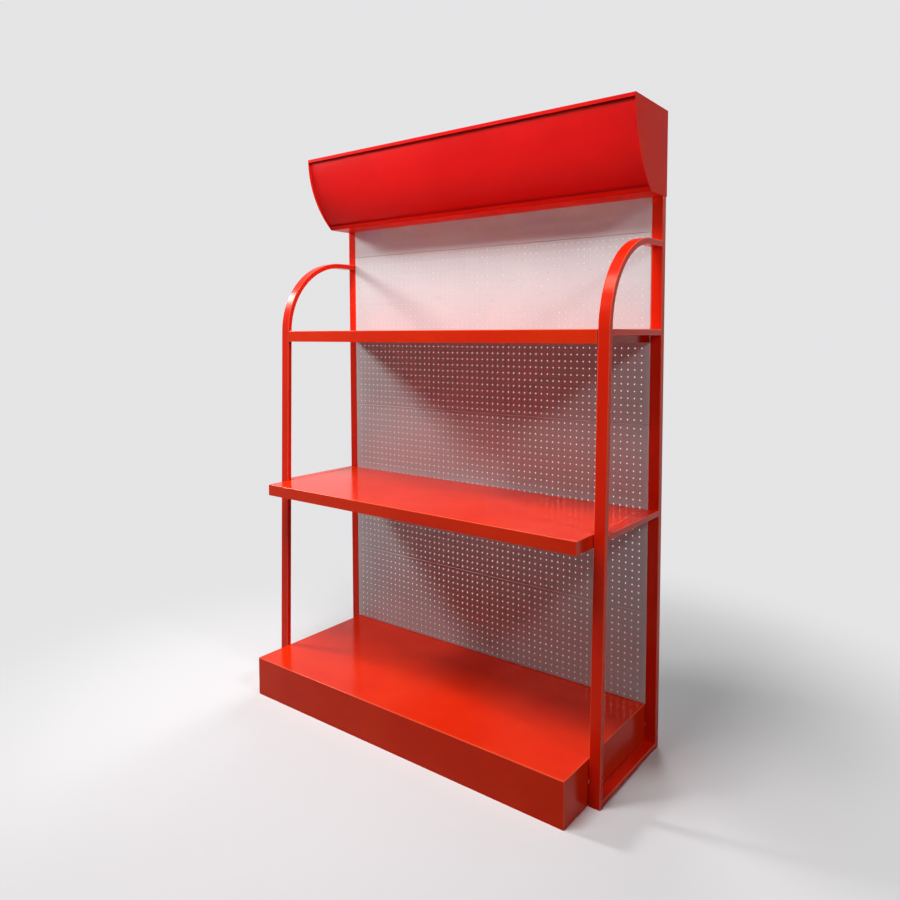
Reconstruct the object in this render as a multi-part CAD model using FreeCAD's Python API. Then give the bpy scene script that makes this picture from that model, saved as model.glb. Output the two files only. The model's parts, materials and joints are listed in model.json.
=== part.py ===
"""Steel display stand: two bent tube side frames, a plinth, two shelves, a perforated back and a header.

X runs across the stand, Y from the front to the back and Z up, in millimetres. The origin is on the
floor, in the middle of the stand's footprint.
"""
import FreeCAD
import Part

import math
import os

from FreeCAD import Vector

# Reaches are measured forward from the front faces of the rear posts, where the back panels begin.

# Side frames
FRAME_WIDTH = 1490.0          # over the outer faces of both frames
TUBE_WIDTH = 40.0             # every tube, measured across the stand
TUBE_THICKNESS = 20.0         # front tube and rails, the narrow way
POST_DEPTH = 25.0
TUBE_WALL = 1.5
TUBE_CORNER = 3.0
FOOT_REACH = 428.0            # front face of the front tube at the floor
BEND_REACH = 393.0            # the same face where the bend begins, so the tube leans back
BEND_HEIGHT = 1470.0
BEND_RADIUS = 295.0           # to the middle of the tube
STAND_HEIGHT = 2200.0

# Plinth and shelves, each one folded sheet
PLINTH_HEIGHT = 150.0
PLINTH_REACH = 575.0
MIDDLE_SHELF_HEIGHT = 848.0
MIDDLE_SHELF_REACH = 510.0
TOP_SHELF_HEIGHT = 1470.0
TOP_SHELF_REACH = 393.0
SHELF_LIP = 44.0
SHELF_SHEET = 1.5
SHELF_RETURN = 14.0           # edge turned in under each lip
FOLD_RADIUS = 3.0             # outside of every fold in the plinth and shelves
SIDE_CLEARANCE = 2.5          # from the plinth and shelves to each frame, filled by spacers

# Stiffening channels under the plinth top and the shelves
CHANNEL_WIDTH = 50.0
CHANNEL_DEPTH = 20.0
CHANNEL_FLANGE = 16.0
CHANNEL_SHEET = 1.5
PLINTH_FRONT_CHANNEL_REACH = 385.0
PLINTH_REAR_CHANNEL_REACH = 190.0
MIDDLE_SHELF_CHANNEL_REACH = 255.0
TOP_SHELF_CHANNEL_REACH = 195.0

# Back panels
PANEL_HEIGHT = 330.0          # from seam to seam
PANEL_SHEET = 1.2
PANEL_FLANGE = 15.0           # depth of the edges folded back
PANEL_FOLD = 2.0
PANEL_SEAM = 0.8
PANEL_SIDE_GAP = 0.5
PERFORATED_PANELS = 5
PLAIN_PANEL_DROP = 70.0       # from the header's top down to the plain panel's upper edge
HOLE_DIAMETER = 5.0
HOLE_PITCH = 25.0
HOLE_EDGE = 15.0              # from a seam to the first row of holes
HOLE_SIDE_EDGE = 30.0         # from a post to the first column of holes
COLUMN_STEP = 6               # the solids carry every sixth column and every third row
ROW_STEP = 3

# Header
HEADER_HEIGHT = 284.0
HEADER_REACH = 235.0          # front of the roof
HEADER_CURVE = 375.0          # radius of the cheeks' front edge
HEADER_LIP = 13.0
HEADER_SHEET = 1.5
FACE_RECESS = 8.0             # from the cheeks' front edge back to the face
REAR_FLAP = 100.0             # roof sheet turned down behind the back panels

# Fasteners
BOLT_DIAMETER = 6.0
BOLT_HEAD = 11.0
BOLT_HEAD_HEIGHT = 3.3
SPACER_DIAMETER = 16.0
SCREW_DIAMETER = 4.8
SCREW_HEAD = 9.0
SCREW_HEAD_HEIGHT = 2.4
FASTENER_TAIL = 6.0           # length inside the tube
PLINTH_BOLT_HEIGHT = 75.0
SHELF_BOLT_FRONT_REACH = 330.0
SHELF_BOLT_REAR_REACH = 60.0
PANEL_SCREW_EDGE = 60.0       # from a seam to the nearest screw
HEADER_SCREW_EDGE = 50.0      # from the header's top and bottom to the nearest screw

# Plugs in the open ends of the tubes
PLUG_LENGTH = 18.0

FIT_GAP = 0.3
HOLE_CLEARANCE = 0.5          # on the diameter of bolts and screws

# Places that follow from the sizes
REAR_OVERHANG = POST_DEPTH + HEADER_SHEET + SCREW_HEAD_HEIGHT
BACK = (PLINTH_REACH - REAR_OVERHANG) / 2
OUTER = FRAME_WIDTH / 2
INNER = OUTER - TUBE_WIDTH
TUBE_MIDDLE = (OUTER + INNER) / 2
TRAY_SIDE = INNER - SIDE_CLEARANCE
POST_MIDDLE = BACK + POST_DEPTH / 2
LEAN = math.atan2(FOOT_REACH - BEND_REACH, BEND_HEIGHT)
LEG_WAY = Vector(0, math.sin(LEAN), math.cos(LEAN))
LEG_INWARD = Vector(0, math.cos(LEAN), -math.sin(LEAN))
ACROSS = Vector(1, 0, 0)
BACKWARD = Vector(0, 1, 0)
UP = Vector(0, 0, 1)
HEADER_BASE = STAND_HEIGHT - HEADER_HEIGHT
CURVE_MIDDLE = BACK - HEADER_REACH + HEADER_CURVE
FAR = 2 * STAND_HEIGHT

os.makedirs("parts", exist_ok=True)


def save(name, shape):
    """Write one piece, or one group of like pieces, under its own name."""
    shape.exportStep(f"parts/{name}.step")
    print(f"{name}: {len(shape.Solids)} solid, {shape.Volume / 1000:.1f} cm3, valid {shape.isValid()}")


def mirrored(shape):
    return shape.mirror(Vector(0, 0, 0), ACROSS)


def block(x, y, z):
    """Box between the low and high values given for each axis."""
    low = Vector(x[0], y[0], z[0])
    return Part.makeBox(x[1] - x[0], y[1] - y[0], z[1] - z[0], low)


def side_profile(edges, x):
    """Solid whose outline in the YZ plane is made of `edges`, between the two x values."""
    face = Part.Face(Part.Wire(Part.__sortEdges__(edges)))
    face.translate(Vector(x[0], 0, 0))
    return face.extrude(Vector(x[1] - x[0], 0, 0))


def polygon(points, x):
    """Solid with a straight-sided outline in the YZ plane."""
    corners = [Vector(x[0], y, z) for y, z in points]
    return Part.Face(Part.makePolygon(corners + corners[:1])).extrude(Vector(x[1] - x[0], 0, 0))


def rod(start, way, diameter, length):
    return Part.makeCylinder(diameter / 2, length, start, way)


def rounded_section(middle, thin_way, width, thickness, corner):
    """Face of a tube's section: `width` across the stand and `thickness` along `thin_way`."""
    w = width / 2
    t = thickness / 2
    c = corner * (1 - math.sqrt(0.5))

    def at(a, b):
        return middle + ACROSS * a + thin_way * b

    edges = []
    for a, b in ((1, 1), (-1, 1), (-1, -1), (1, -1)):
        from_side = at(a * w, b * (t - corner))
        on_corner = at(a * (w - c), b * (t - c))
        to_end = at(a * (w - corner), b * t)
        edges.append(Part.Arc(from_side, on_corner, to_end).toShape())
    for b in (1, -1):
        edges.append(Part.makeLine(at(corner - w, b * t), at(w - corner, b * t)))
    for a in (1, -1):
        edges.append(Part.makeLine(at(a * w, corner - t), at(a * w, t - corner)))
    return Part.Face(Part.Wire(Part.__sortEdges__(edges)))


def straight_tube(start, way, length, thin_way, thickness):
    """Hollow rectangular tube from `start`, the middle of its first end."""
    outside = rounded_section(start, thin_way, TUBE_WIDTH, thickness, TUBE_CORNER)
    inside = rounded_section(
        start, thin_way, TUBE_WIDTH - 2 * TUBE_WALL, thickness - 2 * TUBE_WALL, TUBE_CORNER - TUBE_WALL)
    return outside.extrude(way * length).cut(inside.extrude(way * length))


def leg_front(z):
    """Y of the front tube's front face at height z, below the bend."""
    return BACK - FOOT_REACH + z * math.tan(LEAN)


def leg_middle(z):
    return leg_front(z) + TUBE_THICKNESS / 2 / math.cos(LEAN)


def leg_rear(z):
    return leg_front(z) + TUBE_THICKNESS / math.cos(LEAN)


def below_floor():
    return block((-FAR, FAR), (-FAR, FAR), (-FAR, 0))


def bend_start():
    """Middle of the front tube where the bend begins."""
    return Vector(TUBE_MIDDLE, BACK - BEND_REACH, BEND_HEIGHT) + LEG_INWARD * (TUBE_THICKNESS / 2)


def bend_middle():
    return bend_start() + LEG_INWARD * BEND_RADIUS


def bent_bar(width, thickness, corner):
    """Solid bar along the front tube's path: the leaning leg, the bend and the run back to the post."""
    leg_length = bend_start().z / math.cos(LEAN) + TUBE_THICKNESS
    leg_end = rounded_section(bend_start(), LEG_INWARD, width, thickness, corner)
    leg = leg_end.extrude(LEG_WAY * -leg_length)
    bend = leg_end.revolve(bend_middle(), ACROSS * -1, 90 - math.degrees(LEAN))
    run_start = bend_middle() + UP * BEND_RADIUS
    run = rounded_section(run_start, UP, width, thickness, corner).extrude(BACKWARD * (BACK - run_start.y))
    return leg.fuse([bend, run]).removeSplitter()


def space_inside_frame():
    """The space between the front tube's inner side and the post, which the rails fill from end to end."""
    radius = BEND_RADIUS - TUBE_THICKNESS / 2
    half_turn = (math.pi / 2 - LEAN) / 2
    low_front = Vector(0, leg_rear(-FAR), -FAR)
    arc_start = bend_middle() - LEG_INWARD * radius
    on_arc = bend_middle() + (LEG_WAY * math.sin(half_turn) - LEG_INWARD * math.cos(half_turn)) * radius
    arc_end = bend_middle() + UP * radius
    high_rear = Vector(0, BACK, arc_end.z)
    low_rear = Vector(0, BACK, -FAR)
    for corner in (arc_start, on_arc, arc_end):
        corner.x = 0
    return side_profile([
        Part.makeLine(low_front, arc_start),
        Part.Arc(arc_start, on_arc, arc_end).toShape(),
        Part.makeLine(arc_end, high_rear),
        Part.makeLine(high_rear, low_rear),
        Part.makeLine(low_rear, low_front),
    ], (-FAR, FAR))


def bolt_places():
    """Y and Z of the bolts that hold the plinth and shelves to one frame."""
    places = [(y, PLINTH_BOLT_HEIGHT) for y in (leg_middle(PLINTH_BOLT_HEIGHT), POST_MIDDLE)]
    for height in (MIDDLE_SHELF_HEIGHT, TOP_SHELF_HEIGHT):
        for reach in (SHELF_BOLT_FRONT_REACH, SHELF_BOLT_REAR_REACH):
            places.append((BACK - reach, height - TUBE_THICKNESS / 2))
    return places


def panel_bottom(number):
    """Height of the lower edge of a back panel, counted from 0. Past the last one it is the back's top."""
    if number > PERFORATED_PANELS:
        return STAND_HEIGHT - PLAIN_PANEL_DROP
    return PLINTH_HEIGHT + number * PANEL_HEIGHT


def panel_screw_places():
    """Y and Z of the screws through the panels' side flanges into one post."""
    places = []
    for number in range(PERFORATED_PANELS + 1):
        for z in (panel_bottom(number) + PANEL_SCREW_EDGE, panel_bottom(number + 1) - PANEL_SCREW_EDGE):
            places.append((BACK + (PANEL_FLANGE + PANEL_SHEET) / 2, z))
    return places


def header_screw_heights():
    return (HEADER_BASE + HEADER_SCREW_EDGE, STAND_HEIGHT - HEADER_SCREW_EDGE)


def header_screw_holes(depth):
    """Drills that reach `depth` each way from the posts' rear face."""
    drills = []
    for z in header_screw_heights():
        start = Vector(TUBE_MIDDLE, BACK + POST_DEPTH - depth, z)
        drills.append(rod(start, BACKWARD, SCREW_DIAMETER + HOLE_CLEARANCE, 2 * depth))
    return drills


def holes_across(places, diameter, x):
    """Drills along X, of the given diameter plus clearance, between two x values."""
    return [rod(Vector(x[0], y, z), ACROSS, diameter + HOLE_CLEARANCE, x[1] - x[0]) for y, z in places]


def drilled_for_bolts(tube):
    """The tube with bolt holes in its inner wall only."""
    return tube.cut(holes_across(bolt_places(), BOLT_DIAMETER, (INNER - TUBE_WALL, INNER + 2 * TUBE_WALL)))


def front_tube():
    outside = bent_bar(TUBE_WIDTH, TUBE_THICKNESS, TUBE_CORNER)
    inside = bent_bar(TUBE_WIDTH - 2 * TUBE_WALL, TUBE_THICKNESS - 2 * TUBE_WALL, TUBE_CORNER - TUBE_WALL)
    return drilled_for_bolts(outside.cut(inside).cut(below_floor()))


def rear_post():
    height = STAND_HEIGHT - HEADER_SHEET - FIT_GAP
    post = straight_tube(Vector(TUBE_MIDDLE, POST_MIDDLE, 0), UP, height, BACKWARD, POST_DEPTH)
    inner_wall = (INNER - TUBE_WALL, INNER + 2 * TUBE_WALL)
    drills = holes_across(panel_screw_places(), SCREW_DIAMETER, inner_wall)
    return drilled_for_bolts(post).cut(drills + header_screw_holes(3 * TUBE_WALL))


def side_rail(top):
    """Rail from the front tube back to the post, lying flat with its upper face at `top`."""
    middle = top - TUBE_THICKNESS / 2
    tube = straight_tube(Vector(TUBE_MIDDLE, BACK, middle), BACKWARD * -1, FOOT_REACH, UP, TUBE_THICKNESS)
    return drilled_for_bolts(tube.common(space_inside_frame()))


def leg_plug():
    middle = Vector(TUBE_MIDDLE, leg_middle(0), 0) - LEG_WAY * PLUG_LENGTH
    inset = 2 * (TUBE_WALL + FIT_GAP)
    section = rounded_section(
        middle, LEG_INWARD, TUBE_WIDTH - inset, TUBE_THICKNESS - inset, TUBE_CORNER - TUBE_WALL)
    return section.extrude(LEG_WAY * 2 * PLUG_LENGTH).cut(below_floor())


def post_plug():
    middle = Vector(TUBE_MIDDLE, POST_MIDDLE, 0)
    inset = 2 * (TUBE_WALL + FIT_GAP)
    section = rounded_section(
        middle, BACKWARD, TUBE_WIDTH - inset, POST_DEPTH - inset, TUBE_CORNER - TUBE_WALL)
    return section.extrude(UP * PLUG_LENGTH)


def softened(solid, radius, is_sharp):
    """The solid with a radius on each edge, apart from those whose middle `is_sharp` accepts."""
    edges = [edge for edge in solid.Edges if not is_sharp(edge.CenterOfMass)]
    return solid.makeFillet(radius, edges)


def folded_tray(reach, rear, top, lip, sheet):
    """Sheet folded down on four sides and turned in again along the bottom of each side."""
    front = BACK - reach
    bottom = top - lip

    def box_inside(inset, z):
        return block((inset - TRAY_SIDE, TRAY_SIDE - inset), (front + inset, rear - inset), z)

    def with_folds(box, radius):
        floor = box.BoundBox.ZMin
        return softened(box, radius, lambda middle: middle.z < floor + radius)

    outside = with_folds(box_inside(0, (bottom, top)), FOLD_RADIUS)
    inside = with_folds(box_inside(sheet, (bottom + sheet, top - sheet)), FOLD_RADIUS - sheet)
    mouth = box_inside(SHELF_RETURN, (bottom - sheet, bottom + 2 * sheet))
    tray = outside.cut(inside).cut(mouth)
    reach_through = (-TRAY_SIDE - sheet, TRAY_SIDE + sheet)
    return tray.cut(holes_across(bolt_places(), BOLT_DIAMETER, reach_through))


def plinth():
    return folded_tray(PLINTH_REACH, BACK + POST_DEPTH, PLINTH_HEIGHT, PLINTH_HEIGHT, SHELF_SHEET)


def middle_shelf():
    return folded_tray(MIDDLE_SHELF_REACH, BACK - FIT_GAP, MIDDLE_SHELF_HEIGHT, SHELF_LIP, SHELF_SHEET)


def top_shelf():
    return folded_tray(TOP_SHELF_REACH, BACK - FIT_GAP, TOP_SHELF_HEIGHT, SHELF_LIP, SHELF_SHEET)


def channel(reach, top):
    """Hat-shaped channel across the stand, its two flanges against the sheet above it."""
    y = BACK - reach
    half = CHANNEL_WIDTH / 2
    s = CHANNEL_SHEET
    right = [(half + CHANNEL_FLANGE, top), (half + CHANNEL_FLANGE, top - s), (half, top - s),
             (half, top - CHANNEL_DEPTH)]
    left = [(-b, z) for b, z in reversed(right)]
    inner = [(s - half, top), (s - half, top - CHANNEL_DEPTH + s), (half - s, top - CHANNEL_DEPTH + s),
             (half - s, top)]
    end = TRAY_SIDE - SHELF_SHEET - FIT_GAP - BOLT_HEAD_HEIGHT
    return polygon([(y + b, z) for b, z in right + left + inner], (-end, end))


def panel(number):
    """Back panel with its four edges folded back."""
    side = INNER - PANEL_SIDE_GAP
    y = (BACK, BACK + PANEL_FLANGE)
    z = (panel_bottom(number) + PANEL_SEAM / 2, panel_bottom(number + 1) - PANEL_SEAM / 2)

    def box_inside(inset, radius):
        box = block((inset - side, side - inset), (y[0] + inset, y[1]), (z[0] + inset, z[1] - inset))
        return softened(box, radius, lambda middle: middle.y > y[1] - radius)

    tray = box_inside(0, PANEL_FOLD).cut(box_inside(PANEL_SHEET, PANEL_FOLD - PANEL_SHEET))
    return tray.cut(holes_across(panel_screw_places(), SCREW_DIAMETER, (-OUTER, OUTER)))


def perforated_panel(number):
    """Panel with every COLUMN_STEP-th column and ROW_STEP-th row of its hole pattern."""
    columns = int((2 * (INNER - HOLE_SIDE_EDGE)) / HOLE_PITCH) + 1
    rows = int((PANEL_HEIGHT - 2 * HOLE_EDGE) / HOLE_PITCH) + 1
    first_x = -(columns - 1) * HOLE_PITCH / 2
    first_z = panel_bottom(number) + HOLE_EDGE
    drills = []
    for column in range(0, columns, COLUMN_STEP):
        for row in range(0, rows, ROW_STEP):
            x = first_x + column * HOLE_PITCH
            z = first_z + row * HOLE_PITCH
            drills.append(rod(Vector(x, BACK - PANEL_SHEET, z), BACKWARD, HOLE_DIAMETER, 3 * PANEL_SHEET))
    return panel(number).cut(Part.makeCompound(drills))


def curve_point(z, inset):
    """Point of the header's front curve at height z, `inset` behind the cheeks' front edge."""
    radius = HEADER_CURVE - inset
    return Vector(0, CURVE_MIDDLE - math.sqrt(radius ** 2 - (STAND_HEIGHT - z) ** 2), z)


def curve_edge(low, high, inset):
    middle = (low + high) / 2
    return Part.Arc(curve_point(low, inset), curve_point(middle, inset), curve_point(high, inset)).toShape()


def curved_sheet(low, high, inset, x):
    """Sheet that follows the header's front curve between two heights."""
    back_inset = inset + HEADER_SHEET
    return side_profile([
        curve_edge(low, high, inset),
        curve_edge(low, high, back_inset),
        Part.makeLine(curve_point(low, inset), curve_point(low, back_inset)),
        Part.makeLine(curve_point(high, inset), curve_point(high, back_inset)),
    ], x)


def folded_edge(sheet, middle):
    """The sheet with the outside of one fold rounded, given the middle of that edge."""
    edges = [edge for edge in sheet.Edges if edge.CenterOfMass.distanceToPoint(middle) < FIT_GAP]
    return sheet.makeFillet(HEADER_SHEET, edges)


def header_cheek():
    """Side plate of the header, turned in behind the post at its rear edge."""
    rear = BACK + POST_DEPTH + HEADER_SHEET
    low_rear = Vector(0, rear, HEADER_BASE)
    high_rear = Vector(0, rear, STAND_HEIGHT)
    plate = side_profile([
        curve_edge(HEADER_BASE, STAND_HEIGHT, 0),
        Part.makeLine(curve_point(STAND_HEIGHT, 0), high_rear),
        Part.makeLine(high_rear, low_rear),
        Part.makeLine(low_rear, curve_point(HEADER_BASE, 0)),
    ], (OUTER, OUTER + HEADER_SHEET))
    flange = block((INNER, OUTER + HEADER_SHEET), (rear - HEADER_SHEET, rear), (HEADER_BASE, STAND_HEIGHT))
    cheek = plate.fuse(flange).removeSplitter()
    cheek = folded_edge(cheek, Vector(OUTER + HEADER_SHEET, rear, (HEADER_BASE + STAND_HEIGHT) / 2))
    return cheek.cut(header_screw_holes(3 * HEADER_SHEET))


def header_span():
    return (FIT_GAP - OUTER, OUTER - FIT_GAP)


def header_face():
    low = HEADER_BASE + HEADER_SHEET + FIT_GAP
    high = STAND_HEIGHT - HEADER_SHEET - FIT_GAP
    return curved_sheet(low, high, FACE_RECESS, header_span())


def header_roof():
    """Top sheet, with a lip at the front and a flap between the posts at the rear."""
    front = BACK - HEADER_REACH
    rear = BACK + POST_DEPTH
    plate = block(header_span(), (front, rear), (STAND_HEIGHT - HEADER_SHEET, STAND_HEIGHT))
    lip = block(header_span(), (front, front + HEADER_SHEET), (STAND_HEIGHT - HEADER_LIP, STAND_HEIGHT))
    flap_span = (FIT_GAP - INNER, INNER - FIT_GAP)
    flap = block(flap_span, (rear - HEADER_SHEET, rear), (STAND_HEIGHT - REAR_FLAP, STAND_HEIGHT))
    roof = plate.fuse([lip, flap]).removeSplitter()
    return folded_edge(roof, Vector(0, front, STAND_HEIGHT))


def header_floor():
    """Bottom sheet, with a lip at the front that follows the cheeks' curve."""
    front = curve_point(HEADER_BASE, 0).y + HEADER_SHEET / 2
    plate = block(header_span(), (front, BACK - FIT_GAP), (HEADER_BASE, HEADER_BASE + HEADER_SHEET))
    lip = curved_sheet(HEADER_BASE, HEADER_BASE + HEADER_LIP, 0, header_span())
    return plate.fuse(lip).removeSplitter()


def fastener(seat, way, head, head_height, diameter, length):
    """Headed bolt or screw: the head lies behind `seat` and the shank runs along `way`."""
    shank = rod(seat, way, diameter, length)
    return rod(seat - way * head_height, way, head, head_height).fuse(shank).removeSplitter()


def both_sides(pieces):
    return Part.makeCompound(pieces + [mirrored(piece) for piece in pieces])


def bolt(seat, way, grip):
    """Bolt from `seat` through everything it clamps, `grip` thick with the tube's wall."""
    return fastener(seat, way, BOLT_HEAD, BOLT_HEAD_HEIGHT, BOLT_DIAMETER, grip + FASTENER_TAIL)


def screw(seat, way, grip):
    return fastener(seat, way, SCREW_HEAD, SCREW_HEAD_HEIGHT, SCREW_DIAMETER, grip + FASTENER_TAIL)


def bolts():
    x = TRAY_SIDE - SHELF_SHEET
    grip = INNER + TUBE_WALL - x
    return both_sides([bolt(Vector(x, y, z), ACROSS, grip) for y, z in bolt_places()])


def spacer(seat):
    """Ring between a tray and a frame, around one bolt."""
    ring = rod(seat, ACROSS, SPACER_DIAMETER, SIDE_CLEARANCE)
    return ring.cut(rod(seat, ACROSS, BOLT_DIAMETER + HOLE_CLEARANCE, SIDE_CLEARANCE))


def spacers():
    return both_sides([spacer(Vector(TRAY_SIDE, y, z)) for y, z in bolt_places()])


def panel_screws():
    x = INNER - PANEL_SIDE_GAP - PANEL_SHEET
    grip = INNER + TUBE_WALL - x
    return both_sides([screw(Vector(x, y, z), ACROSS, grip) for y, z in panel_screw_places()])


def header_screws():
    y = BACK + POST_DEPTH + HEADER_SHEET
    grip = HEADER_SHEET + TUBE_WALL
    forward = BACKWARD * -1
    return both_sides([screw(Vector(TUBE_MIDDLE, y, z), forward, grip) for z in header_screw_heights()])


def save_pair(name, right):
    save(f"right_{name}", right)
    save(f"left_{name}", mirrored(right))


save_pair("front_tube", front_tube())
save_pair("rear_post", rear_post())
for rail_name, rail_top in (("bottom_rail", TUBE_THICKNESS), ("middle_rail", MIDDLE_SHELF_HEIGHT),
                            ("top_rail", TOP_SHELF_HEIGHT)):
    save_pair(rail_name, side_rail(rail_top))
save("foot_plugs", both_sides([leg_plug(), post_plug()]))

save("plinth", plinth())
save("middle_shelf", middle_shelf())
save("top_shelf", top_shelf())
for channel_name, channel_reach, sheet_top in (
        ("plinth_front_channel", PLINTH_FRONT_CHANNEL_REACH, PLINTH_HEIGHT),
        ("plinth_rear_channel", PLINTH_REAR_CHANNEL_REACH, PLINTH_HEIGHT),
        ("middle_shelf_channel", MIDDLE_SHELF_CHANNEL_REACH, MIDDLE_SHELF_HEIGHT),
        ("top_shelf_channel", TOP_SHELF_CHANNEL_REACH, TOP_SHELF_HEIGHT)):
    save(channel_name, channel(channel_reach, sheet_top - SHELF_SHEET))

for panel_number in range(PERFORATED_PANELS):
    save(f"perforated_panel_{panel_number + 1}", perforated_panel(panel_number))
save("plain_panel", panel(PERFORATED_PANELS))

save_pair("header_cheek", header_cheek())
save("header_face", header_face())
save("header_roof", header_roof())
save("header_floor", header_floor())

save("bolts", bolts())
save("spacers", spacers())
save("panel_screws", panel_screws())
save("header_screws", header_screws())
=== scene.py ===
# %% [markdown]
# # A steel display stand, dressed
# The model of this shop stand is finished: bent tube side frames, a plinth, two shelves, back
# panels and a header. This lesson gives it its looks. The model comes in as one object per piece,
# already in its place, in metres, standing on z = 0 with its front towards -Y. Pieces whose shape
# is right keep it and only get a better material. Pieces that need more detail are made again here
# and take the old ones' place.

import json
import math

import bmesh
import bpy
from mathutils import Matrix, Vector


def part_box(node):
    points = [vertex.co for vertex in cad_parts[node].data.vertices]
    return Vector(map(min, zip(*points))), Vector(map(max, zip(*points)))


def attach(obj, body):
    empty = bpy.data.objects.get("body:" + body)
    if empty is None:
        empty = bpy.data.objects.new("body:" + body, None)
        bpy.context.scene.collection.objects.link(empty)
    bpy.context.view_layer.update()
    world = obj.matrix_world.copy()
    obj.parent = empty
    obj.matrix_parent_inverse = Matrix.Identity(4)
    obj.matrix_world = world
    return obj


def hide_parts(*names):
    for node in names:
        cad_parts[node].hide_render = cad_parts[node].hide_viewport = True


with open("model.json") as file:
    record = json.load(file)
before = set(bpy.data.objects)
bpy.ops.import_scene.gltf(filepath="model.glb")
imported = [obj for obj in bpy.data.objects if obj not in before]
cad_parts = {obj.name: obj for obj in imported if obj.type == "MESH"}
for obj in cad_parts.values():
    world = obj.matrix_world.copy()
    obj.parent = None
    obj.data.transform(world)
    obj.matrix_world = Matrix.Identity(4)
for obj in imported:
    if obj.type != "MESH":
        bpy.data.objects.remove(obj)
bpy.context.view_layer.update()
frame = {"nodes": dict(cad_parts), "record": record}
nodes = frame["nodes"]
print(f"{len(nodes)} pieces came with the model")

# %% [markdown]
# ## The camera
# The view is a photographer's, standing at the stand's front right corner with the lens a little
# below eye level. The numbers were solved from points measured in a picture of the real stand:
# where the lens is, how far it is turned and tipped, and its focal length in pixels. A small lens
# shift puts the stand where it sits in the picture. Copying a camera by eye would be quicker, but
# every line would be a little off.

# %% Place the camera
PICTURE = 900
SENSOR = 36.0
LENS_PLACE = Vector((1.7320, -2.1619, 1.4536))
LENS_TURN = 0.64875
LENS_TIP = 0.06269
LENS_ROLL = -0.0020
FOCAL_PIXELS = 747.45
AXIS_PIXELS = (459.46, 381.55)
FARTHEST_SEEN = 200.0


def add_object(name, data):
    """A new object in the scene."""
    thing = bpy.data.objects.new(name, data)
    bpy.context.scene.collection.objects.link(thing)
    return thing


def add_camera():
    data = bpy.data.cameras.new("photographer")
    data.sensor_width = SENSOR
    data.lens = FOCAL_PIXELS / PICTURE * SENSOR
    data.shift_x = 0.5 - AXIS_PIXELS[0] / PICTURE
    data.shift_y = AXIS_PIXELS[1] / PICTURE - 0.5
    data.clip_end = FARTHEST_SEEN
    camera = add_object("photographer", data)
    upright = Matrix.Rotation(math.pi / 2 - LENS_TIP, 4, "X")
    turn = Matrix.Rotation(LENS_TURN, 4, "Z") @ upright
    roll = Matrix.Rotation(LENS_ROLL, 4, "Z")
    camera.matrix_world = Matrix.Translation(LENS_PLACE) @ turn @ roll
    bpy.context.scene.camera = camera
    return camera


photographer = add_camera()
print(f"lens {photographer.data.lens:.1f} mm at {tuple(round(v, 2) for v in LENS_PLACE)}")

# %% [markdown]
# ## A small language for materials
# A material is a graph of nodes, and wiring one by hand takes many lines. Two small classes make it
# read like arithmetic. `Wire` wraps a socket, so that `1 - mask * 0.3` adds the Math nodes itself.
# `Recipe` has one method that adds any other node: its type, its settings, which are set first
# because they decide which sockets it has, and what goes into its sockets. The other way would be
# to append ready materials from a library, but then nothing would be learned about how paint works.

# %% Wires and recipes


class Wire:
    """A socket that can be added to, multiplied with or taken from sockets and numbers."""

    def __init__(self, recipe, socket):
        self.recipe = recipe
        self.socket = socket

    def math(self, operation, first, second):
        return self.recipe.node("ShaderNodeMath", {"operation": operation}, {0: first, 1: second})

    def __add__(self, other):
        return self.math("ADD", self, other)

    def __rsub__(self, other):
        return self.math("SUBTRACT", other, self)

    def __mul__(self, other):
        return self.math("MULTIPLY", self, other)

    __radd__ = __add__


def pick(sockets, key):
    """A socket by its number or its name, among those that are switched on."""
    enabled = [socket for socket in sockets if socket.enabled]
    if isinstance(key, int):
        return enabled[key]
    return next(socket for socket in enabled if socket.name == key)


class Recipe:
    """The nodes of one material or world."""

    def __init__(self, owner, output_type):
        owner.use_nodes = True
        self.tree = owner.node_tree
        self.tree.nodes.clear()
        self.output = self.tree.nodes.new(output_type)

    def node(self, kind, settings, sockets, output=0):
        """Add a node and return one of its outputs as a Wire."""
        made = self.tree.nodes.new(kind)
        for name, value in settings.items():
            if name == "stops":
                self.set_stops(made.color_ramp, value)
            else:
                setattr(made, name, value)
        for key, value in sockets.items():
            self.feed(pick(made.inputs, key), value)
        return Wire(self, pick(made.outputs, output))

    def feed(self, socket, value):
        if isinstance(value, Wire):
            self.tree.links.new(value.socket, socket)
        else:
            socket.default_value = value

    def set_stops(self, ramp, stops):
        while len(ramp.elements) < len(stops):
            ramp.elements.new(1.0)
        for element, (place, shade) in zip(ramp.elements, stops):
            element.position = place
            element.color = (shade, shade, shade, 1.0)

    def finish(self, shader):
        self.feed(self.output.inputs["Surface"], shader)


def new_material(name):
    material = bpy.data.materials.new(name)
    return material, Recipe(material, "ShaderNodeOutputMaterial")


def own_place(r):
    """Where a point lies on its piece, in metres."""
    return r.node("ShaderNodeTexCoord", {}, {}, "Object")


def noise(r, place, scale, detail):
    return r.node("ShaderNodeTexNoise", {}, {"Vector": place, "Scale": scale, "Detail": detail})


def blend(r, share, first, second):
    """The first colour where the share is 0, and the second where it is 1."""
    sockets = {"Factor": share, "A": first, "B": second}
    return r.node("ShaderNodeMix", {"data_type": "RGBA"}, sockets)


def rgb(red, green, blue):
    """A colour as 0 to 255 on screen, turned by the sRGB rule into a shader's linear numbers."""
    def linear(value):
        share = value / 255
        return share / 12.92 if share <= 0.04045 else ((share + 0.055) / 1.055) ** 2.4
    return (linear(red), linear(green), linear(blue), 1.0)


print("wires and recipes are ready")

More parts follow.
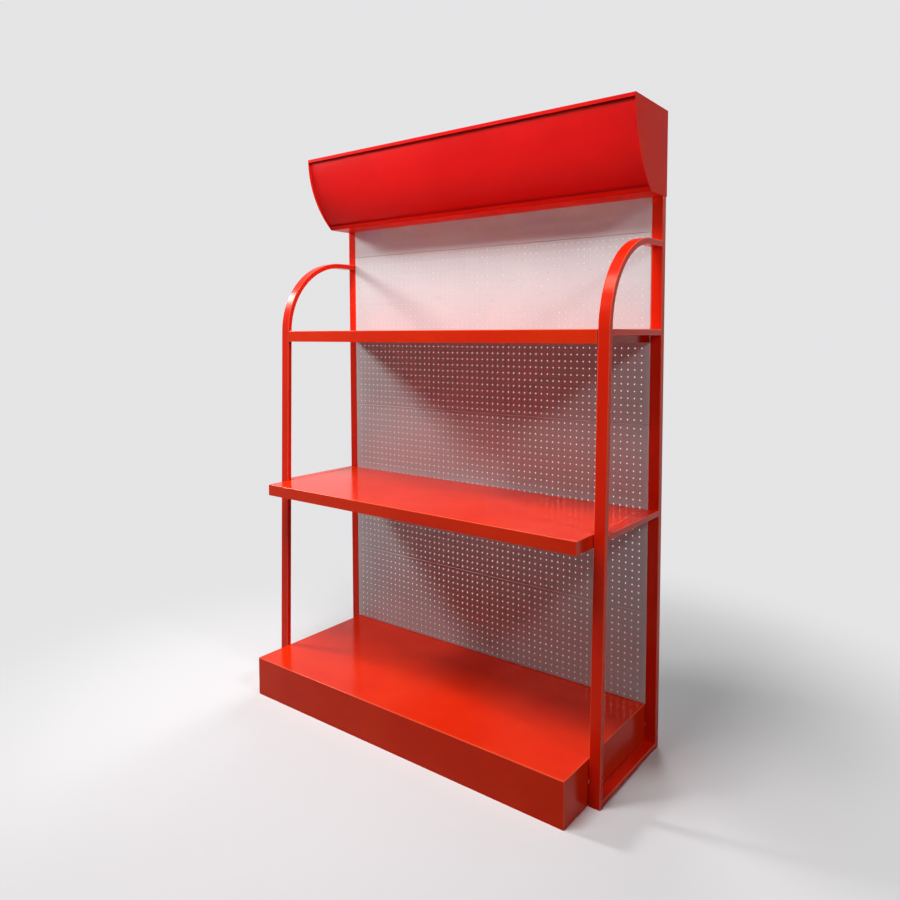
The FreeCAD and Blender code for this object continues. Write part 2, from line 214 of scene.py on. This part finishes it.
# %% [markdown]
# ## Where the paint changes
# The frames, plinth, shelves and header are red powder coat: dry paint blown onto earthed steel and
# melted in an oven. Along a fold or a tube's corner a lighter colour is laid on as a painted
# highlight, for the thin line of lamp light that a rounded edge catches; on the header's shell
# these edges are crimson instead.
# A brush along every edge would be one way to paint that, and a mask drawn by hand another. Here a
# mask is worked out from the way the surface faces, which costs nothing and fits every piece. The
# same idea finds the header's front lips, which are painted crimson here, like the face between
# them.

# %% Find the edges and the fronts
EDGE_SHARE = 0.55
EDGE_GAIN = 2.0
JUST_OVER_ONE = 1.0001
FRONT_START = 0.75


def facing(r, axis):
    """How the surface faces along one axis: 1 or -1 straight along it, 0 square to it."""
    direction = r.node("ShaderNodeTexCoord", {}, {}, "Normal")
    return r.node("ShaderNodeSeparateXYZ", {}, {0: direction}, axis)


# The mask below marks the rounded edges, where most coats get a painted highlight.
def edge_mask(r, with_folds):
    """EDGE_SHARE halfway round a rounded edge, fading to 0 on flat faces.

    A flat face looks straight along one axis. On a rounded edge the direction lies between two
    axes, and halfway round it their product is one half, which EDGE_GAIN brings to 1. Bent tubes
    turn between Y and Z all the time, and so only their lengthwise corners are taken. The number
    just over one keeps what is under the root above zero.
    """
    x, y, z = [r.node("ShaderNodeMath", {"operation": "ABSOLUTE"}, {0: facing(r, axis)})
               for axis in "XYZ"]
    across = r.node("ShaderNodeMath", {"operation": "SQRT"}, {0: JUST_OVER_ONE - x * x})
    edges = x * across * EDGE_GAIN
    if with_folds:
        edges = edges + y * z * EDGE_GAIN
    return r.node("ShaderNodeClamp", {}, {"Value": edges * EDGE_SHARE})


def front_mask(r):
    """1 on faces that look to the front, which is -Y, and 0 on those turned well away from it."""
    forward = 0.0 - facing(r, "Y")
    reach = {"Value": forward, "From Min": FRONT_START, "From Max": 1.0}
    return r.node("ShaderNodeMapRange", {}, reach)


print(f"edges take {EDGE_SHARE:.0%} of the lighter colour")

# %% [markdown]
# ## Powder coat
# Up close the coat is never flat. The melt leaves soft waves two or three millimetres apart, called
# orange peel, so reflections wobble a little. The film is a touch thicker here and thinner there,
# which shows as faint clouds in the colour, and it isn't equally glossy everywhere. A plain colour
# with one roughness would look like plastic, so all three are built in, at sizes in metres. In the
# picture the reds don't all look alike: the shelf trays and the plinth look more orange, the
# header's shell duller, and its face crimson. Paint or light may be the cause, and a picture can't
# tell, so each group simply gets the mix that comes closest. The plinth shines less than the
# shelves, which keeps the pale floor's reflection off its front. One function mixes them all.

# %% Mix the powder coats
WHITE = (1.0, 1.0, 1.0, 1.0)
WARM = (1.0, 0.5, 0.3, 1.0)
CLOUD_SCALE = 4.0
CLOUD_STOPS = ((0.35, 0.0), (0.65, 1.0))
FLECK_SCALE = 90.0
FLECK_SWING = 0.08
PEEL_SCALE = 420.0
PEEL_SHARE = 0.6
WAVE_SCALE = 60.0
WAVE_SHARE = 0.8
COAT_STRENGTH = 0.1
COAT_DEPTH = 0.0004


def powder_coat(name, colours, roughness, specular, tint=WARM, with_folds=True, front_colour=None):
    """Baked paint with orange peel.

    Its colours are the main one, the one in the clouds and the edges'. Where the edges' colour
    is lighter than the main one, it is a painted highlight; on the header's shell it is crimson.
    Where a front colour is given, it covers the faces that look to the front.
    """
    colour, deep_colour, edge_colour = colours
    material, r = new_material(name)
    place = own_place(r)
    clouds = noise(r, place, CLOUD_SCALE, 3.0)
    flecks = noise(r, place, FLECK_SCALE, 2.0)
    depth = r.node("ShaderNodeValToRGB", {"stops": CLOUD_STOPS}, {"Fac": clouds})
    paint = blend(r, depth, colour, deep_colour)
    # Rounded edges take the edge colour: a painted highlight where it is lighter than the paint.
    paint = blend(r, edge_mask(r, with_folds), paint, edge_colour)
    if front_colour:
        paint = blend(r, front_mask(r), paint, front_colour)
    peel = noise(r, place, PEEL_SCALE, 1.0)
    waves = noise(r, place, WAVE_SCALE, 1.0)
    height = peel * PEEL_SHARE + waves * WAVE_SHARE
    bump = r.node("ShaderNodeBump", {},
                  {"Strength": COAT_STRENGTH, "Distance": COAT_DEPTH, "Height": height})
    shader = r.node("ShaderNodeBsdfPrincipled", {}, {
        "Base Color": paint,
        "Roughness": roughness - FLECK_SWING / 2 + flecks * FLECK_SWING,
        "Specular IOR Level": specular,
        "Specular Tint": tint,
        "Normal": bump,
    })
    r.finish(shader)
    return material


crimson = rgb(204, 21, 22)
# A painted highlight: the thin line of lamp light that folds and tube corners catch.
painted_edge_highlight = rgb(255, 120, 84)
frame_reds = (rgb(228, 38, 12), rgb(220, 31, 9), painted_edge_highlight)
shelf_reds = (rgb(236, 50, 12), rgb(228, 41, 9), painted_edge_highlight)
shell_reds = (rgb(232, 42, 13), rgb(224, 34, 10), crimson)
face_reds = (crimson, rgb(194, 17, 18), crimson)
# The third white is lighter: a painted highlight on the panels' rounded edges and hole walls.
whites = (rgb(205, 210, 211), rgb(200, 205, 207), rgb(222, 225, 226))

frame_coat = powder_coat("red_frame_coat", frame_reds, 0.22, 0.17, with_folds=False)
shelf_coat = powder_coat("red_shelf_coat", shelf_reds, 0.18, 0.20)
plinth_coat = powder_coat("red_plinth_coat", shelf_reds, 0.18, 0.14)
shell_coat = powder_coat("red_header_shell_coat", shell_reds, 0.32, 0.04, front_colour=crimson)
face_coat = powder_coat("red_header_face_coat", face_reds, 0.30, 0.14)
white_coat = powder_coat("white_powder_coat", whites, 0.5, 0.3, tint=WHITE)
print("six powder coats mixed")

# %% [markdown]
# ## Zinc and black plastic
# The bolts, their spacer rings and the screws are zinc plated: a grey metal with a faint crystal
# mottle. The plugs in the tubes' open feet are moulded plastic with a fine grain. All of them are
# small, so one texture is enough for each finish.

# %% Mix the zinc and the plastic
ZINC_GREY = rgb(198, 198, 194)
ZINC_ROUGHNESS = 0.28
MOTTLE_SCALE = 900.0
MOTTLE_SWING = 0.2
PLASTIC_BLACK = rgb(30, 30, 31)
PLASTIC_ROUGHNESS = 0.5
GRAIN_SCALE = 1500.0
GRAIN_SWING = 0.15
GRAIN_STRENGTH = 0.3
GRAIN_DEPTH = 0.0002


def zinc_plating():
    material, r = new_material("zinc_plating")
    mottle = r.node("ShaderNodeTexVoronoi", {}, {"Vector": own_place(r), "Scale": MOTTLE_SCALE})
    shader = r.node("ShaderNodeBsdfPrincipled", {}, {
        "Base Color": ZINC_GREY,
        "Metallic": 1.0,
        "Roughness": ZINC_ROUGHNESS + mottle * MOTTLE_SWING,
    })
    r.finish(shader)
    return material


def moulded_plastic():
    material, r = new_material("moulded_plastic")
    grain = noise(r, own_place(r), GRAIN_SCALE, 2.0)
    bump = r.node("ShaderNodeBump", {},
                  {"Strength": GRAIN_STRENGTH, "Distance": GRAIN_DEPTH, "Height": grain})
    shader = r.node("ShaderNodeBsdfPrincipled", {}, {
        "Base Color": PLASTIC_BLACK,
        "Roughness": PLASTIC_ROUGHNESS + grain * GRAIN_SWING,
        "Normal": bump,
    })
    r.finish(shader)
    return material


finishes = {
    "red_powder_coat": frame_coat,
    "white_powder_coat": white_coat,
    "zinc_plated_steel": zinc_plating(),
    "black_plastic": moulded_plastic(),
}
print("finishes:", ", ".join(finishes))

# %% [markdown]
# ## Painting the pieces that keep their shape
# The record that came with the model says which finish each piece has, so the paint goes on in one
# loop. It knows only one red, so a small table first names the pieces that get a mix of their own.
# Painting each piece by hand would do as well, but then a piece is soon forgotten.

# %% Paint the model's own pieces
own_coats = {
    "header_face": face_coat,
    "left_header_cheek": shell_coat,
    "right_header_cheek": shell_coat,
    "header_roof": shell_coat,
    "header_floor": shell_coat,
    "middle_shelf": shelf_coat,
    "top_shelf": shelf_coat,
    "plinth": plinth_coat,
}
for piece in frame["record"]["subparts"]:
    coat = own_coats.get(piece["node"], finishes[piece["material_slot"]])
    for material_slot in nodes[piece["node"]].material_slots:
        material_slot.material = coat

# %% [markdown]
# ## The perforated panels
# A perforated panel is one sheet of 1.2 mm steel, punched with 55 columns and 13 rows of 5 mm
# holes, 25 mm apart, and folded back along all four edges. The model carries only 50 of them.
# Cutting 715 holes with Boolean modifiers is slow and can leave slivers. A picture of holes would
# look flat, because here the light shines through them. So the sheet is laid out as a grid of
# squares, and each square is built with its round hole already in it: four flat faces around a
# ring, the same behind, and a wall between the two rings. All five panels are alike, so one mesh is
# made, and each panel is a copy of it at its own height.

# %% Lay out the punched sheet
PITCH = 0.025
HOLE_RADIUS = 0.0025
COLUMNS = 55
ROWS = 13
HOLE_SIDES = 16
SHEET = 0.0012
FOLD = 0.002
FOLD_STEPS = 4


def grid_lines(low, high, count):
    """Places of the grid's lines: a fold's start, the squares' borders, and the far fold's start."""
    middle = (low + high) / 2
    borders = [middle + (k - count / 2) * PITCH for k in range(count + 1)]
    return [low + FOLD] + borders + [high - FOLD]


def punched_side(bm, xs, zs, y):
    """One side of the sheet. Returns the rings of its holes."""
    corners = {(i, k): bm.verts.new((x, y, z)) for i, x in enumerate(xs) for k, z in enumerate(zs)}
    rings = []
    for i in range(len(xs) - 1):
        for k in range(len(zs) - 1):
            square = [corners[i + 1, k + 1], corners[i, k + 1], corners[i, k], corners[i + 1, k]]
            if 0 < i <= COLUMNS and 0 < k <= ROWS:
                x = (xs[i] + xs[i + 1]) / 2
                z = (zs[k] + zs[k + 1]) / 2
                rings.append(punched_square(bm, square, x, y, z))
            else:
                bm.faces.new(square)
    return rings


def punched_square(bm, square, x, y, z):
    """A square with a round hole. Corners and ring both start at the upper right."""
    ring = []
    for k in range(HOLE_SIDES):
        angle = math.pi / 4 + 2 * math.pi * k / HOLE_SIDES
        sideways = HOLE_RADIUS * math.cos(angle)
        upwards = HOLE_RADIUS * math.sin(angle)
        ring.append(bm.verts.new((x + sideways, y, z + upwards)))
    quarter = HOLE_SIDES // 4
    for q in range(4):
        arc = [ring[(q * quarter + k) % HOLE_SIDES] for k in range(quarter + 1)]
        bm.faces.new([square[q]] + arc + [square[(q + 1) % 4]])
    return ring


def edge_walk(xs, zs):
    """Points round the grid's outline with their outward direction, turning at each corner."""
    walk = []
    sides = (
        ([(x, zs[0]) for x in xs], -90),
        ([(xs[-1], z) for z in zs], 0),
        ([(x, zs[-1]) for x in reversed(xs)], 90),
        ([(xs[0], z) for z in reversed(zs)], 180),
    )
    for points, outward in sides:
        walk += [(point, math.radians(outward)) for point in points[:-1]]
        for step in range(FOLD_STEPS):
            walk.append((points[-1], math.radians(outward + 90 * step / FOLD_STEPS)))
    return walk


def fold_profile(radius, start_depth, flange_depth):
    """How far out and how far back each ring of a fold lies, down to the edge of the flange."""
    steps = [math.radians(90 * k / FOLD_STEPS) for k in range(FOLD_STEPS + 1)]
    bend = [(radius * math.sin(a), start_depth + radius * (1 - math.cos(a))) for a in steps]
    return bend + [(radius, flange_depth)]


print(f"{COLUMNS * ROWS} holes in a panel")

# %% Build one panel
WELD_DISTANCE = 1e-6
CREASE = math.radians(35)


def skin_between(bm, first, second):
    for k in range(len(first)):
        n = (k + 1) % len(first)
        bm.faces.new([first[k], first[n], second[n], second[k]])


def folded_skin(bm, walk, y, profile):
    """The bend and flange on one side of the sheet. Returns the ring at the flange's edge."""
    rings = []
    for out, back in profile:
        rings.append([bm.verts.new((x + out * math.cos(a), y + back, z + out * math.sin(a)))
                      for (x, z), a in walk])
    for first, second in zip(rings, rings[1:]):
        skin_between(bm, first, second)
    return rings[-1]


def perforated_mesh(low, high):
    """A punched sheet with folded edges. It prints how many edges are left open."""
    bm = bmesh.new()
    xs = grid_lines(low.x, high.x, COLUMNS)
    zs = grid_lines(low.z, high.z, ROWS)
    front_rings = punched_side(bm, xs, zs, low.y)
    back_rings = punched_side(bm, xs, zs, low.y + SHEET)
    for front, back in zip(front_rings, back_rings):
        skin_between(bm, front, back)
    walk = edge_walk(xs, zs)
    flange = high.y - low.y
    outer = folded_skin(bm, walk, low.y, fold_profile(FOLD, 0.0, flange))
    inner = folded_skin(bm, walk, low.y, fold_profile(FOLD - SHEET, SHEET, flange))
    skin_between(bm, outer, inner)
    bmesh.ops.remove_doubles(bm, verts=bm.verts, dist=WELD_DISTANCE)
    bmesh.ops.dissolve_degenerate(bm, edges=bm.edges, dist=WELD_DISTANCE)
    bmesh.ops.recalc_face_normals(bm, faces=bm.faces)
    mesh = bpy.data.meshes.new("perforated_sheet")
    open_edges = sum(1 for edge in bm.edges if not edge.is_manifold)
    bm.to_mesh(mesh)
    bm.free()
    smooth_with_crisp_edges(mesh)
    print(f"panel mesh: {len(mesh.polygons)} faces, {open_edges} open edges")
    return mesh


def smooth_with_crisp_edges(mesh):
    mesh.polygons.foreach_set("use_smooth", [True] * len(mesh.polygons))
    mesh.set_sharp_from_angle(angle=CREASE)


PANEL_NAMES = [f"perforated_panel_{k}" for k in range(1, 6)]
lowest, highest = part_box(PANEL_NAMES[0])
first_sheet = perforated_mesh(lowest, highest)
first_sheet.materials.append(white_coat)

# %% Hang the five panels


def add_piece(name, mesh, slot, *stands_for):
    """A piece carried by the stand, in place of the model's own pieces that it stands for."""
    piece = add_object(name, mesh)
    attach(piece, "root")
    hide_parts(*stands_for)


for node_name in PANEL_NAMES:
    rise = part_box(node_name)[0].z - lowest.z
    sheet = first_sheet.copy()
    sheet.transform(Matrix.Translation((0.0, 0.0, rise)))
    add_piece(f"{node_name}_punched", sheet, "white_powder_coat", node_name)
    print(f"{node_name} hangs {rise:.3f} m above the first")

# %% [markdown]
# ## The studio
# The floor is a wide pale disc, and the world behind it is the same pale tone. Within a metre of
# the stand's middle it is plain diffuse paint, and so it takes the stand's soft shadow. From there
# to a little over two metres it fades into the world's tone, so no horizon line cuts through the
# picture. Light Path nodes show the camera and the paint's reflections this pale studio, while
# everything else is lit by a calmer grey: a floor that threw its full light upwards would wash out
# the shade under the shelves. A curved paper roll behind the stand is the usual way in a studio,
# but it would stand in the way of a view from behind.

# %% Build the floor and the world
BACKGROUND = (0.78, 0.78, 0.79, 1.0)
WORLD_LIGHT = 0.03
FLOOR_RADIUS = 60.0
FLOOR_SIDES = 96
FLOOR_SEEN = (0.75, 0.75, 0.76, 1.0)
FLOOR_LIT = (0.25, 0.25, 0.25, 1.0)
FADE_START = 1.0
FADE_END = 2.3


def seen_directly(r):
    """1 for camera, mirror and glass rays, 0 for the light that falls on things."""
    camera_ray = r.node("ShaderNodeLightPath", {}, {}, "Is Camera Ray")
    glossy_ray = r.node("ShaderNodeLightPath", {}, {}, "Is Glossy Ray")
    glass_ray = r.node("ShaderNodeLightPath", {}, {}, "Is Transmission Ray")
    return r.node("ShaderNodeClamp", {}, {"Value": camera_ray + glossy_ray + glass_ray})


def build_world():
    world = bpy.data.worlds.new("studio")
    bpy.context.scene.world = world
    r = Recipe(world, "ShaderNodeOutputWorld")
    light = r.node("ShaderNodeBackground", {}, {"Color": WHITE, "Strength": WORLD_LIGHT})
    shown = r.node("ShaderNodeBackground", {}, {"Color": BACKGROUND, "Strength": 1.0})
    r.finish(r.node("ShaderNodeMixShader", {}, {0: seen_directly(r), 1: light, 2: shown}))


def build_floor():
    bm = bmesh.new()
    bmesh.ops.create_circle(bm, cap_ends=True, segments=FLOOR_SIDES, radius=FLOOR_RADIUS)
    mesh = bpy.data.meshes.new("floor")
    bm.to_mesh(mesh)
    bm.free()
    material, r = new_material("floor")
    distance = r.node("ShaderNodeVectorMath", {"operation": "LENGTH"}, {0: own_place(r)}, "Value")
    fade = r.node("ShaderNodeMapRange", {"interpolation_type": "SMOOTHSTEP"},
                  {"Value": distance, "From Min": FADE_START, "From Max": FADE_END})
    direct = seen_directly(r)
    dull = r.node("ShaderNodeBsdfDiffuse", {}, {"Color": FLOOR_LIT})
    pale = r.node("ShaderNodeBsdfDiffuse", {}, {"Color": FLOOR_SEEN})
    near = r.node("ShaderNodeMixShader", {}, {0: direct, 1: dull, 2: pale})
    far_away = r.node("ShaderNodeEmission", {}, {"Color": BACKGROUND})
    r.finish(r.node("ShaderNodeMixShader", {}, {0: fade * direct, 1: near, 2: far_away}))
    mesh.materials.append(material)
    floor = add_object("floor", mesh)


build_world()
build_floor()
print(f"floor disc of {FLOOR_RADIUS:.0f} m")

# %% [markdown]
# ## The lamps
# One large soft lamp hangs above and in front of the stand, as a shop's ceiling light does. It
# makes the shelves' tops bright and leaves the panels under them in soft shade. Two smaller ones
# stand high at the left and the right, a faint one is in front, and a narrow strip is aimed at the
# header's face. The last one is behind the stand, for views from there, and it stands left so that
# it doesn't glare along the faces on the right. The strengths of the five in front started from a
# fit: the stand was rendered with one lamp at a time, and the sum was fitted to the brightness of
# 51 places in the picture of the real one. They were then rounded and shifted a little, and the
# lamp behind was given its strength apart from the fit.

# %% Hang the lamps
STAND_MIDDLE = (0.0, 0.0, 1.2)
HEADER_AIM = (0.05, -0.1, 2.01)


def softbox(name, place, target, width, height, power, spread=180):
    """A rectangular lamp. Its power is in watts and its spread in degrees."""
    data = bpy.data.lights.new(name, "AREA")
    data.shape = "RECTANGLE"
    data.size = width
    data.size_y = height
    data.energy = power
    data.spread = math.radians(spread)
    lamp = add_object(name, data)
    aim = Vector(target) - Vector(place)
    turn = aim.to_track_quat("-Z", "Y").to_matrix().to_4x4()
    lamp.matrix_world = Matrix.Translation(Vector(place)) @ turn


softbox("ceiling_light", (0.0, -1.4, 4.0), STAND_MIDDLE, 1.4, 1.0, 98.0)
softbox("left_light", (-3.0, -0.8, 3.0), STAND_MIDDLE, 0.6, 0.6, 76.0)
softbox("right_light", (3.0, -0.6, 3.0), STAND_MIDDLE, 0.4, 0.4, 29.0)
softbox("front_light", (-1.3, -2.6, 3.3), STAND_MIDDLE, 0.7, 0.5, 13.0)
softbox("header_light", (0.2, -3.0, 1.80), HEADER_AIM, 1.5, 0.12, 0.5, spread=7)
softbox("rear_light", (-1.2, 3.2, 2.6), STAND_MIDDLE, 1.5, 1.5, 60.0)

# %% [markdown]
# ## Colours as they are written
# The Standard view shows each colour as it was mixed, with no film look on top.

# %% Set the view and finish
bpy.context.scene.view_settings.view_transform = "Standard"
